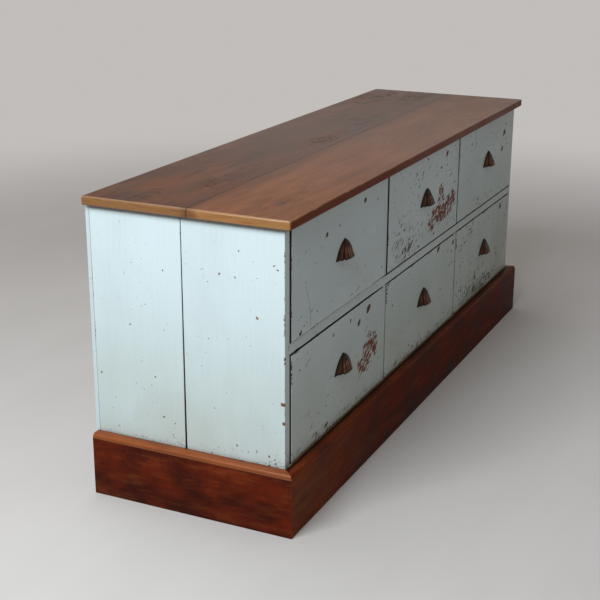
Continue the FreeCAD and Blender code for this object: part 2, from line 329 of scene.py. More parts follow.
def plinth_varnish(name, along, low, high):
    """Streaked varnish, worn along the moulding, with dirt and painted shade where the ledge
    meets the case, and a painted highlight along the arris under the quirk.
    """
    material, shader, where = new_material(name, varnish_sheen[along])
    bared = ledge_bared[along]
    dirt_and_shade_width = ledge_dirt_and_shade_width[along]
    place = turned_along(where, along, (0.015, 0.01, 0.02), (0.3, 0.02, 0.11))
    rings = summer_wood(growth_rings(place, 0.0065, 0.03))
    streaks = mottle(place, (9, 48, 48), 5.0, 0.6)
    clouds = mottle(place, (8, 13, 13), 6.0, 0.64)
    blots = mottle(place, (22, 30, 30), shift=(5, 2, 1))
    x, y, z = split(where)
    ledge = fade(z, plinth_top - plinth_round * 1.25, plinth_top - plinth_round * 0.9)
    ledge_wear = fade(streaks, 0.25, 0.62, bared * 0.5, bared)
    # Painted highlight, partly worn varnish: a thin paler line along the arris under the quirk.
    arris_height = plinth_top - plinth_round - plinth_quirk - 0.0007
    arris = fade(abs(z - arris_height), 0.0019, 0.0007, 0.0, 0.55 * bared)
    colour = layered(varnish_dark, (fade(clouds, 0.35, 0.63), varnish_brown),
                     (fade(streaks, 0.46, 0.74) * 0.26, varnish_worn),
                     (rings * 0.30, varnish_dark),
                     (fade(blots, 0.60, 0.76, 0.0, 0.45), varnish_dark),
                     (ledge * ledge_wear, varnish_worn), (arris, varnish_edge_and_highlight))
    if along == "x":
        faded = fade(x, -0.25, -0.85, 0.0, 0.38) * fade(streaks, 0.30, 0.62, 0.5, 1.0)
        colour = layered(colour, (faded * fade(ledge, 0.0, 1.0, 1.0, 0.1), varnish_worn))
        inwards = y + plinth_reach_y
    else:
        inwards = plinth_reach_x - abs(x)
    # Dirt and painted shade along the back of the ledge, where it meets the case.
    dirt_and_shade = fade(inwards + blots * (dirt_and_shade_width * 1.25), plinth_thickness - dirt_and_shade_width,
                plinth_thickness)
    rubbed = fade(edge_distance(where, low, high) - mottle(where, 38.0) * 0.0085,
                  -0.0030, -0.0046)
    colour = layered(colour, (dirt_and_shade * 0.95, varnish_dirt_and_shade),
                     (rubbed * fade(ledge, 0.0, 1.0, 0.12, 0.6), varnish_edge_and_highlight))
    polished = ledge * bared
    fill(shader, {"Base Color": colour, "Coat Weight": polished * 0.25, "Coat Roughness": 0.25,
                  "Roughness": fade(clouds, 0.3, 0.7, 0.33, 0.48) - polished * 0.10,
                  "Normal": relief(rings * 0.00006 + clouds * 0.0004 - rubbed * 0.00012)})
    return material


def plinth_profile():
    """The moulded section as (distance outwards, height), from the inner foot outwards."""
    face = plinth_thickness
    foot = plinth_foot_round
    recess = face - plinth_quirk
    shoulder = plinth_top - plinth_round
    quirk_foot = shoulder - plinth_quirk
    turns = [math.pi / 2 * step / round_steps for step in range(1, round_steps + 1)]
    return [(0, 0), (face - foot, 0), (face - foot * 0.3, foot * 0.3), (face, foot),
            (face, quirk_foot / 2), (face, quirk_foot - plinth_arris),
            (face - plinth_arris, quirk_foot), (recess, quirk_foot), (recess, shoulder),
            *[(recess - plinth_round * (1 - math.cos(turn)),
               shoulder + plinth_round * math.sin(turn)) for turn in turns],
            (0, plinth_top)]


def skin(shape, rows, closed=True):
    """Faces from each row of points to the next. Where the rows are rings, both ends too."""
    for before, after in zip(rows, rows[1:]):
        for index in range(len(before) if closed else len(before) - 1):
            follow = (index + 1) % len(before)
            shape.faces.new((before[index], before[follow], after[follow], after[index]))
    if closed:
        shape.faces.new(rows[0])
        shape.faces.new(rows[-1])


def add_piece(name, shape, material, slot, body, *nodes):
    """Makes a piece of a mesh in the making, on a body, in place of the solids named."""
    bmesh.ops.recalc_face_normals(shape, faces=shape.faces)
    made = as_object(name, shape, material)
    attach(made, body)
    if nodes:
        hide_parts(*nodes)
    return made


def corner(side, out):
    """The front corner on one side, at a distance outwards from the case."""
    return Vector((side * (end_of_case + out), front_of_case - out, 0))


def moulding(name, start, end, outwards, node):
    """A length of the plinth. Start and end give a place on the case for a distance out."""
    shape = bmesh.new()
    count = round((end(0) - start(0)).length / moulding_pitch)
    rows = []
    for step in range(count + 1):
        row = []
        for out, height in plinth_profile():
            place = start(out).lerp(end(out), step / count)
            shake = noise.noise(Vector((place.x, place.y, height)) * knock_fineness)
            knock = max(0.0, shake - knock_limit)
            inset = moulding_wander * knock if 0 < step < count and out > 0 else 0.0
            place = place - outwards * inset
            row.append(shape.verts.new((place.x, place.y, height)))
        rows.append(row)
    skin(shape, rows)
    along = "x" if abs(outwards.y) > 0.5 else "y"
    piece = add_piece(name, shape, plinth_varnish(name + "_varnish", along, *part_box(node)),
                      "plinth_pine", "chest", node)
    for face in piece.data.polygons:
        face.use_smooth = len(face.vertices) == 4
    piece.data.set_sharp_from_angle(angle=moulding_crease)


moulding("plinth_front_board", lambda out: corner(-1, out), lambda out: corner(1, out),
         Vector((0, -1, 0)), "plinth_front")
for side, side_name in ((-1, "left"), (1, "right")):
    moulding("plinth_%s_board" % side_name, lambda out: corner(side, out),
             lambda out: Vector((side * (end_of_case + out), plinth_back, 0)),
             Vector((side, 0, 0)), "plinth_" + side_name)


# Bare pine inside
# The bottom board, glue blocks, drawer runners and stops are sawn pine that was never
# painted. It has gone honey brown, with dust in the grain. Cut brads hold the runners.
bare_pale = (0.415, 0.255, 0.122, 1)
bare_summer = (0.235, 0.118, 0.046, 1)
bare_dust = (0.235, 0.178, 0.120, 1)
brad_black = (0.035, 0.030, 0.027, 1)
brad_rust = (0.12, 0.045, 0.02, 1)
bay_pitch = 0.545
row_pitch = 0.277
row_middle = 0.414


def pine_colour(where, along, shift, pale=bare_pale, summer=bare_summer, ring=0.0052):
    """Colour, summer wood and fibres of bare pine with its grain along an axis."""
    place = turned_along(where, along, (0.01, 0.012, 0.02), shift)
    dark = summer_wood(growth_rings(place, ring, 0.035))
    fibres = mottle(place, (12, 320, 320), 2.0)
    dust = mottle(place, (4, 11, 11), 4.0)
    colour = layered(pale, (dark * 0.62, summer), (fade(fibres, 0.45, 0.75) * 0.30, summer),
                     (fade(dust, 0.48, 0.78, 0.0, 0.55), bare_dust))
    return colour, dark, fibres


def bare_pine(name, along, heart, bay_share):
    """Sawn pine whose figure differs from bay to bay and between the two rows."""
    material, shader, where = new_material(name)
    x, y, z = split(where)
    bay = calc("FLOOR", (x + bay_pitch * 1.5) / bay_share)
    row = calc("GREATER_THAN", z, row_middle)
    number = row * 3.7 + bay
    if along == "x":
        x, y = number * 1.9 + x, y - number * 0.021
    else:
        x, y = x - bay * bay_share, number * 1.9 + y
    own = put("CombineXYZ", {0: x, 1: y, 2: z - row * row_pitch})
    colour, dark, fibres = pine_colour(own, along, heart)
    fill(shader, {"Base Color": colour, "Roughness": 0.68,
                  "Normal": relief(dark * 0.00008 + fibres * 0.00010)})
    return material


def spotted_metal(name, fineness, spread, dull, bright, metallic, roughness):
    """Dull metal with brighter or rusty spots. Spread is where the spots start and end."""
    material, shader, where = new_material(name)
    fill(shader, {"Base Color": layered(dull, (fade(mottle(where, fineness), *spread), bright)),
                  "Metallic": metallic, "Roughness": roughness})
    return material


def finish_node(node, material):
    """Gives a solid that keeps its shape its material."""
    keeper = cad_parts[node]
    keeper.data.materials.clear()
    keeper.data.materials.append(material)


pine_lengthwise = bare_pine("bare_pine_lengthwise", "x", (0.2, -0.06, -0.105), bay_pitch)
pine_front_to_back = bare_pine("bare_pine_front_to_back", "y", (0.5, -0.86, -0.25),
                               bay_pitch / 2)
for node in ("bottom_board", "plinth_blocks", "drawer_stops"):
    finish_node(node, pine_lengthwise)
finish_node("drawer_runners", pine_front_to_back)
brad_finish = spotted_metal("brad_iron", 260.0, (0.4, 0.6), brad_black, brad_rust, 0.4, 0.7)
finish_node("cut_brads", brad_finish)


# Middle rail
# One pine rail along the whole front between the two rows, housed into the ends.
# Only its front edge is painted, two coats of pale duck-egg over an older brown.
paint_pale = (0.565, 0.665, 0.685, 1)
paint_dull = (0.485, 0.565, 0.575, 1)
paint_grime = (0.47, 0.455, 0.33, 1)
paint_dirt_and_shadow = (0.11, 0.095, 0.065, 1)
paint_shade = (0.30, 0.31, 0.25, 1)
old_brown = (0.042, 0.0145, 0.0095, 1)
old_rust = (0.168, 0.034, 0.013, 1)
old_gold = (0.25, 0.105, 0.034, 1)
speck_and_shade_brown = (0.050, 0.031, 0.023, 1)
handled_dirt_and_shade = (0.030, 0.019, 0.012, 1)
paint_sheen = 0.30
paint_thickness = 0.0003
paint_wrap = 0.0018
frame_paint_wrap = 0.0008
bay_height = 0.253
frame_set_back = 0.0024
fleck_lean = math.radians(30)
heart_distance = 0.045
board_pitch = 0.045
board_wander = 0.0004
wander_fineness = 9.0
softened_crease = math.radians(40)
rail_edge_round = 0.001
rail_bow_start = -0.36
rail_bow_end = -0.27
rail_dirt_and_shade_width = 0.0022
rail_dirt_and_shade_start = -0.29


def near_heart(low, high, along):
    """The shift that puts the heart of the tree a little behind the middle of a board."""
    heart = (low + high) / 2
    sizes = high - low
    heart[min(range(3), key=lambda axis: sizes[axis])] += heart_distance
    if along == "x":
        return (low.z * 5, -heart.y, -heart.z)
    return (low.x * 5, -heart.y, heart.x)


def ragged_place(where, fineness, reach):
    """The place, shaken sideways so that what is drawn round it gets a ragged outline."""
    shake = put("TexNoise", {"Vector": where, "Scale": fineness, "Detail": 3.0,
                             "Roughness": 0.6}, "Color")
    centred = vector("SUBTRACT", shake, (0.5, 0.5, 0.5))
    return vector("MULTIPLY_ADD", centred, (reach, reach, reach), where)


def leaning(where):
    """The place turned so that marks on a front lean over."""
    return put("Mapping", {"Vector": where, "Rotation": (0, fleck_lean, 0)})


def oval(place, centre, sizes):
    """0 in the middle of an oval to 1 on its outline and more beyond."""
    scale = [2 / size for size in sizes]
    shift = [-part * times for part, times in zip(centre, scale)]
    moved = put("Mapping", {"Vector": place, "Scale": scale, "Location": shift})
    return vector("LENGTH", moved, output="Value")


def duck_egg(name, low, high, along, faces, flecks, chips=(), patches=(), scuffs=(),
             scratches=(), under=old_brown, grime=0.0, edge_wear=1.0, worn_box=None,
             wrap=paint_wrap, foot_dirt_and_shade=0.9, dirty_and_shaded_arrises=(), brushed_side=None):
    """Old pale paint over brown on one or two faces of a pine board, the others bare.

    Faces are (axis, place, direction into the wood). Chips are (centre, size), flaked
    patches and scuffs are (centre, sizes of an oval), and scratches are (centre of an arc,
    radius, lowest and highest point). Flecks say how speckled the paint is. Dirty and shaded
    arrises, darkened with dirt and painted shade beside the gaps, are (axis, place, width,
    first place on X), and a brushed side is (place on X, how much further the paint goes
    round).
    """
    material, shader, where = new_material(name, paint_sheen)
    heart = near_heart(low, high, along)
    place = turned_along(where, along, (0.012, 0.015, 0.01), heart)
    axes = split(where)

    # The coat itself, with brush strokes and grime, painted shade that darkens it towards
    # the foot and the far end, dirt and painted shade at the foot, and a painted shadow under the
    # top.
    clouds = mottle(place, (2.2, 5, 5), 4.0)
    strokes = mottle(place, (7, 260, 260))
    rings = summer_wood(growth_rings(place, 0.0075, 0.05))
    above_plinth = axes[2] - plinth_top
    smear = mottle(where, (9, 9, 5.4), 5.0)
    # Painted shade: the paint is darker towards the foot and towards the far end.
    painted_shade = fade(above_plinth, 0.45, 0.02, 0.0, 0.36) + fade(axes[0], -0.3, 0.8, 0.0, 0.22)
    colour = layered(paint_pale, (fade(clouds, 0.35, 0.68, 0.0, 0.55), paint_dull),
                     (fade(strokes, 0.35, 0.75, 0.0, 0.16), paint_dull),
                     (rings * 0.05, paint_grime),
                     (painted_shade * fade(smear, 0.25, 0.75, 0.75, 1.25), paint_shade))
    if grime:
        dirty = fade(above_plinth, 0.21, 0.0) * fade(smear, 0.30, 0.72)
        # Dirt and painted shade at the foot, along the plinth's ledge, broken up by drips.
        drips = mottle(where, 130.0, 4.0, 0.65)
        foot = fade(above_plinth - drips * 0.018, -0.001, -0.008, 0.0, foot_dirt_and_shade)
        # Painted shadow: a dark band on the paint just under the overhang of the top.
        under_top = rail_high.z + bay_height - axes[2] + drips * 0.003
        colour = layered(colour, (dirty * grime, paint_grime), (foot, paint_dirt_and_shadow),
                         (fade(under_top, 0.014, 0.0045, 0.0, 0.85), paint_dirt_and_shadow))

    # Edges worn through, and dirt and painted shade along some of them, beside the gaps.
    edge = edge_distance(where, *(worn_box or (low, high)))
    worn_stretch = mottle(where, 21.0, shift=(63, 21, 147))
    nibble = mottle(where, 260.0, 4.0, 0.65)
    reach = fade(worn_stretch, 0.52, 0.74, 0.0, 0.0045 * edge_wear) * fade(nibble, 0.40, 0.62)
    reach = reach + nibble * (0.0009 * edge_wear)
    shares = [fade(edge - reach, 0.0003, -0.0002)]
    # Painted shade, partly dirt: dark lines along the arrises beside the gaps.
    for axis, arris, width, first_x in dirty_and_shaded_arrises:
        width = fade(axes[0], first_x - 0.03, first_x + 0.03, -0.001, width)
        off = abs(axes[axis] - arris) + nibble * 0.0016 - width
        colour = layered(colour, (fade(off, 0.0010, 0.0004), speck_and_shade_brown))

    # Chips and flaked patches, down to the brown beneath.
    ragged = ragged_place(where, 130.0, 0.011)
    ragged_leaning = leaning(ragged)
    for centre, size in chips:
        centre = Matrix.Rotation(fleck_lean, 3, "Y") @ centre
        sizes = (size * 1.35, size, size * 0.85)
        shares.append(fade(oval(ragged_leaning, centre, sizes), 1.0, 0.8))
    brown = layered(old_brown, (fade(nibble, 0.42, 0.62, 0.0, 0.5), old_gold), (0.55, under))
    where_leaning = leaning(where)
    if patches:
        flake = mottle(where_leaning, (46, 88, 150), roughness=0.60)
        within = strongest([fade(oval(ragged, centre, sizes), 1.15, 0.45)
                            for centre, sizes in patches])
        shares.append(fade(flake + within * 0.158, 0.612, 0.628) * fade(within, 0.0, 0.05))
        rusty = fade(nibble, 0.30, 0.55, 0.25, 1.0) * fade(within, 0.0, 0.25)
        brown = layered(brown, (rusty, old_rust))
    chipped = strongest(shares)
    brown = layered(brown, (fade(edge, 0.0022, 0.0008, 0.0, 0.8), speck_and_shade_brown))

    # Specks, denser in the scuffs, and scratches.
    fine = mottle(where_leaning, (54, 134, 190), 2.0, 0.45)
    level = fine + fade(mottle(where, 11.0, 2.0, shift=(11, 55, 22)), 0.42, 0.70) * 0.05
    for centre, sizes in scuffs:
        level = level + fade(oval(ragged, centre, sizes), 1.2, 0.3, 0.0, 0.066)
    if grime:
        level = level + fade(above_plinth, 0.05, 0.0, 0.0, 0.10)
    speck_limit = 0.785 - 0.08 * flecks
    marks = [fade(level, speck_limit, speck_limit + 0.012)]
    for centre, radius, lowest, highest in scratches:
        off = abs(vector("DISTANCE", where, centre, output="Value") - radius)
        line = fade(off + nibble * 0.0011, 0.0013, 0.0009)
        marks.append(line * fade(axes[2], highest, highest - 0.01)
                     * fade(axes[2], lowest, lowest + 0.01))
    marked = strongest(marks)
    faint = fade(mottle(where, 42.0, 1.0), 0.40, 0.58, 0.40, 0.92)
    colour = layered(colour, (chipped, brown), (marked * faint, speck_and_shade_brown))

    # Bare wood from where the brush stopped, dark where hands reach: handling dirt, and
    # painted shade where the sides run into the gaps.
    depths = [(axes[axis] - plane) * float(inwards) for axis, plane, inwards in faces]
    depth = calc("MINIMUM", depths[0], depths[-1])
    runs = depth - worn_stretch * 0.0012
    if brushed_side:
        side_place, further = brushed_side
        runs = runs - fade(abs(axes[0] - side_place), 0.0018, 0.0009, 0.0, further)
    past_paint = fade(runs, wrap - 0.0006, wrap - 0.0002)
    # Handling dirt and painted shade: the bare wood is dark near the paint, inside the gaps.
    handled = fade(depth - worn_stretch * 0.02, 0.018, -0.006)
    wood = layered(pine_colour(where, along, heart)[0], (handled, handled_dirt_and_shade))

    matt = strongest([chipped * 0.8, past_paint])
    height = (strokes * 0.00010 + rings * 0.00004 + clouds * 0.0007
              - marked * (paint_thickness / 2) - chipped * paint_thickness)
    fill(shader, {"Base Color": layered(colour, (past_paint, wood)), "Normal": relief(height),
                  "Roughness": fade(clouds, 0.3, 0.7, 0.44, 0.54) + matt * 0.24})
    return material


def ramp(value, start, end):
    """0 at the start to 1 at the end, and level beyond them."""
    return min(1.0, max(0.0, (value - start) / (end - start)))


def board_shape(low, high, along, wander=board_wander, reshape=None, weight=None, into=None):
    """A planed board whose faces and edges wander a little, in short steps along its grain."""
    shape = into or bmesh.new()
    run = "xyz".index(along)
    across, through = [axis for axis in range(3) if axis != run]
    count = max(2, round((high[run] - low[run]) / board_pitch))
    ring = [(0, 0), (0.5, 0), (1, 0), (1, 0.5), (1, 1), (0.5, 1), (0, 1), (0, 0.5)]
    rows = []
    for step in range(count + 1):
        row = []
        for a, b in ring:
            shares = {run: step / count, across: a, through: b}
            place = Vector([low[axis] + (high[axis] - low[axis]) * shares[axis]
                            for axis in range(3)])
            shake = noise.noise_vector(place * wander_fineness) * 0.5 + Vector((0.5, 0.5, 0.5))
            for axis in range(3):
                if shares[axis] in (0, 1):
                    inwards = 1 if shares[axis] == 0 else -1
                    place[axis] += inwards * wander * ramp(shake[axis], 0, 1)
            row.append(shape.verts.new(reshape(place) if reshape else place))
        rows.append(row)
    skin(shape, rows)
    if weight:
        bmesh.ops.recalc_face_normals(shape, faces=shape.faces)
        shape.normal_update()
        layer = shape.edges.layers.float.new("bevel_weight_edge")
        for edge in shape.edges:
            if edge.calc_face_angle() > softened_crease:
                edge[layer] = weight((edge.verts[0].co + edge.verts[1].co) / 2)
    return shape


def soften(piece, width, segments=3, weighted=False):
    """Rounds the sharp edges of a piece and shades it smooth."""
    for face in piece.data.polygons:
        face.use_smooth = True
    bevel = piece.modifiers.new("softened_edges", "BEVEL")
    bevel.width = width
    bevel.segments = segments
    bevel.limit_method = "WEIGHT" if weighted else "ANGLE"
    bevel.angle_limit = softened_crease
    bevel.harden_normals = True


def settle(piece):
    """Works the modifiers of a piece into its mesh."""
    graph = bpy.context.evaluated_depsgraph_get()
    done = bpy.data.meshes.new_from_object(piece.evaluated_get(graph))
    piece.modifiers.clear()
    piece.data = done


rail_low, rail_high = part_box("mid_rail")
rail_low.y += frame_set_back
# The rail's arrises beside the gaps carry dirt and painted shade.
rail_paint = duck_egg("middle_rail_paint", rail_low, rail_high, "x", [(1, rail_low.y, 1)],
                      flecks=0.9, edge_wear=0.8, wrap=frame_paint_wrap,
                      dirty_and_shaded_arrises=[(2, arris, rail_dirt_and_shade_width, rail_dirt_and_shade_start)
                                     for arris in (rail_high.z, rail_low.z)])


def bow_forward(place):
    """The rail has bowed a little, and is flush with the drawers from the first divider on."""
    if place.y < (rail_low.y + rail_high.y) / 2:
        share = ramp(place.x, rail_bow_start, rail_bow_end)
        place.y -= frame_set_back * share * share * (3 - 2 * share)
    return place


middle_rail = add_piece("middle_rail", board_shape(rail_low, rail_high, "x", reshape=bow_forward),
                        rail_paint, "painted_pine", "chest", "mid_rail")
soften(middle_rail, rail_edge_round)
settle(middle_rail)


# Ends
# Each end is two wide upright pine boards, nailed under the top and standing on the floor
# inside the plinth. They have shrunk apart since, most at the foot, and the open joint shows
# as a dark line. Painted outside and on the front edge, with brown and gold knocks.
mm = 0.001
joint_opening_foot = 0.0020
end_edge_round = 0.0014
end_dirt_and_shade_width = 0.0026
whole_front = -1.0
right_chips_back = 0.02
right_chips_down = 0.013
end_chips = [(290, 553, 4), (154, 564, 7), (117, 561, 4), (109, 620, 4), (27, 599, 5),
             (18, 591, 5), (67, 481, 7), (84, 417, 3.5), (183, 416, 4), (293, 419, 4),
             (379, 419, 4.5), (7, 297, 12), (5, 254, 9), (300, 214, 4.5), (320, 306, 4.5),
             (372, 562, 3.5), (459, 293, 6), (0.5, 398, 11), (0.5, 389, 8), (1, 330, 5),
             (70, 177, 5), (118, 182, 5), (40, 172, 5), (210, 590, 3.5), (233, 575, 3.5)]


def cut_out(piece, *cutters):
    """Cuts the room for other objects out of a piece, and works its modifiers in."""
    for cutter in cutters:
        cut = piece.modifiers.new("cut", "BOOLEAN")
        cut.operation = "DIFFERENCE"
        cut.solver = "EXACT"
        cut.object = cutter
    settle(piece)


def end_board(side, side_name, position, joint_side):
    """One board of an end. The joint side is 1 where the joint lies behind it, else -1."""
    node = "end_%s_%s_board" % (side_name, position)
    low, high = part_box(node)
    if position == "front":
        low.y += frame_set_back
    outer, inner = (low.x, high.x) if side < 0 else (high.x, low.x)
    middle = (low.y + high.y) / 2

    def shrink(place):
        if (place.y - middle) * joint_side > 0:
            share = 1 - (place.z - low.z) / (high.z - low.z)
            place.y -= joint_side * joint_opening_foot * share
        return place

    faces = [(0, outer, -side)]
    if position == "front":
        faces.append((1, low.y, 1))
    chips = [(Vector((outer, front_of_case + y * mm, z * mm)), size * mm)
             for y, z, size in end_chips]
    if side > 0:
        chips = [(Vector((outer, right_chips_back - centre.y, centre.z - right_chips_down)), size)
                 for centre, size in chips]
    end_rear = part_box("end_%s_rear_board" % side_name)[1].y
    worn_box = (Vector((low.x, front_of_case + frame_set_back, low.z)),
                Vector((high.x, end_rear, high.z)))
    # The inner arris beside the first drawer's gap carries dirt and painted shade.
    paint = duck_egg(node + "_paint", low, high, "z", faces, flecks=0.30, chips=chips,
                     under=old_gold, grime=0.12, edge_wear=0.8, worn_box=worn_box, foot_dirt_and_shade=0.22,
                     dirty_and_shaded_arrises=[(0, inner, end_dirt_and_shade_width, whole_front)])
    board = add_piece("end_%s_%s" % (side_name, position),
                      board_shape(low, high, "z", reshape=shrink), paint, "painted_pine",
                      "chest", node)
    soften(board, end_edge_round)
    cut_out(board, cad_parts["bottom_board"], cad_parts["mid_rail"])


for side, side_name in ((-1, "left"), (1, "right")):
    end_board(side, side_name, "front", 1)
    end_board(side, side_name, "rear", -1)


# Dividers
# Two upright boards between the columns of drawers, notched round the middle rail.
# Their front edges are painted with the rest and the sides are bare.
divider_edge_round = 0.0009
divider_dirt_and_shade_widths = {"divider_left": 0.0022, "divider_right": 0.0012}

# Each divider's right arris beside a gap carries dirt and painted shade.
for divider, dirt_and_shade_width in divider_dirt_and_shade_widths.items():
    low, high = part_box(divider)
    low.y += frame_set_back
    paint = duck_egg(divider + "_paint", low, high, "z", [(1, low.y, 1)], flecks=0.35,
                     edge_wear=0.7, wrap=frame_paint_wrap,
                     dirty_and_shaded_arrises=[(0, high.x, dirt_and_shade_width, whole_front)])
    upright = add_piece(divider + "_board", board_shape(low, high, "z"), paint, "painted_pine",
                        "chest", divider)
    soften(upright, divider_edge_round)
    cut_out(upright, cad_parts["mid_rail"])


# Back
# Four thin boards laid lengthwise across the back, with gaps for the wood to move, and
# nailed to the ends and dividers with flat-headed iron nails. Only the boards' ends caught
# the brush. The rest is grey with dust and damp.
back_low, back_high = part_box("back_boards")
back_board_count = 4
back_board_gap = 0.001
back_pitch = (back_high.z - back_low.z + back_board_gap) / back_board_count
back_edge_round = 0.0009
painted_shut_start = 0.06
painted_shut_end = 0.02
painted_shut = back_board_gap * 0.48
back_nail_places = (-0.819, -0.2725, 0.2725, 0.819)
back_nail_shares = (0.25, 0.75)
nail_head_size = (0.0055, 0.0012, 0.0028)
nail_head_round = 0.0003
nail_stray = 0.004
nail_twist = 1.5
back_grey = (0.27, 0.225, 0.17, 1)
back_dark = (0.15, 0.105, 0.065, 1)


def closed_at_ends(place, low, high):
    """Paint fills the gaps between the boards at their ends."""
    share = ramp(abs(place.x), back_high.x - painted_shut_start, back_high.x - painted_shut_end)
    if place.z < (low.z + high.z) / 2 and low.z > back_low.z:
        place.z -= painted_shut * share
    elif place.z > (low.z + high.z) / 2 and high.z < back_high.z - back_board_gap:
        place.z += painted_shut * share
    return place


back_finish, shader, where = new_material("back_wood")
x, y, z = split(where)
risen = (z - back_low.z) / back_pitch
number = calc("FLOOR", risen)
own = put("CombineXYZ", {0: number * 2.3 + x, 1: y,
                         2: number * 0.013 + (risen - number) * back_pitch})
heart = (0.1, -back_low.y + 0.012, -back_pitch * 0.45)
colour, dark, fibres = pine_colour(own, "x", heart, back_grey, back_dark, 0.0085)
damp = mottle(where, (3.2, 3.2, 7.04), 5.0)
brushed = fade(back_high.x - abs(x) - damp * 0.006, 0.0, -0.001)
colour = layered(colour, (fade(damp, 0.5, 0.75, 0.0, 0.5), back_dark), (brushed, paint_dull))
fill(shader, {"Base Color": colour, "Roughness": 0.8,
              "Normal": relief(dark * 0.00010 + fibres * 0.00018)})

boards = bmesh.new()
for index in range(back_board_count):
    low = Vector((back_low.x, back_low.y, back_low.z + index * back_pitch))
    high = Vector((back_high.x, back_high.y, low.z + back_pitch - back_board_gap))
    board_shape(low, high, "x", reshape=lambda place: closed_at_ends(place, low, high),
                into=boards)
planks = add_piece("back_planks", boards, back_finish, "bare_pine", "chest", "back_boards")
soften(planks, back_edge_round, segments=2)
settle(planks)

heads = bmesh.new()
for x in back_nail_places:
    for index in range(back_board_count):
        for share in back_nail_shares:
            askew = noise.noise_vector(Vector((x * 7, index + share, 0.5)))
            place = Vector((x + askew.x * nail_stray, back_high.y - nail_head_size[1] / 2,
                            back_low.z + (index + share) * back_pitch + askew.z * nail_stray))
            turn = Matrix.Rotation(askew.y * nail_twist, 4, "Y")
            size = Matrix.Diagonal((*nail_head_size, 1))
            bmesh.ops.create_cube(heads, matrix=Matrix.Translation(place) @ turn @ size)
nails = add_piece("back_nails", heads, brad_finish, "brad_iron", "chest")
soften(nails, nail_head_round, segments=2)
settle(nails)


# Top
# Two wide pine boards laid edge to edge and nailed down, stained brown and varnished.
# The front board has kept more red, the rear one has gone darker round its knots. Hands
# have worn the end edges to gold, and the long edges are eased all round.
top_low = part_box("top_front_board")[0]
top_rear_low, top_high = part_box("top_rear_board")
top_joint_y = top_rear_low.y
top_edge_round = 0.0048
top_lower_share = 0.6
top_joint_share = 0.1
top_wander = 0.0006
top_joint_reach = 0.002
top_lower_reach = 0.001
top_sheen = 0.045
oval_depth = 0.2
top_dark = (0.034, 0.0125, 0.0068, 1)
top_brown = (0.172, 0.056, 0.0195, 1)
top_red = (0.220, 0.077, 0.028, 1)
top_rear_brown = (0.070, 0.024, 0.0115, 1)
top_rear_red = (0.138, 0.044, 0.0160, 1)
top_dust_and_sheen = (0.172, 0.126, 0.108, 1)
top_front_edge = (0.135, 0.024, 0.004, 1)
top_gold = (0.29, 0.142, 0.052, 1)
top_rear_gold = (0.225, 0.112, 0.044, 1)
top_front_knots = [(-0.713, -0.165, 0.011)]
top_rear_knots = [(-0.80, 0.12, 0.016), (-0.61, 0.05, 0.013), (-0.05, 0.045, 0.012),
                  (0.28, 0.06, 0.015), (0.50, 0.235, 0.008), (0.67, 0.18, 0.023),
                  (0.75, 0.07, 0.016)]
top_rear_bared = [(-0.66, 0.16, 0.27, 0.08), (0.76, 0.07, 0.18, 0.06), (-0.03, 0.05, 0.36, 0.05),
                  (0.60, 0.22, 0.20, 0.05)]


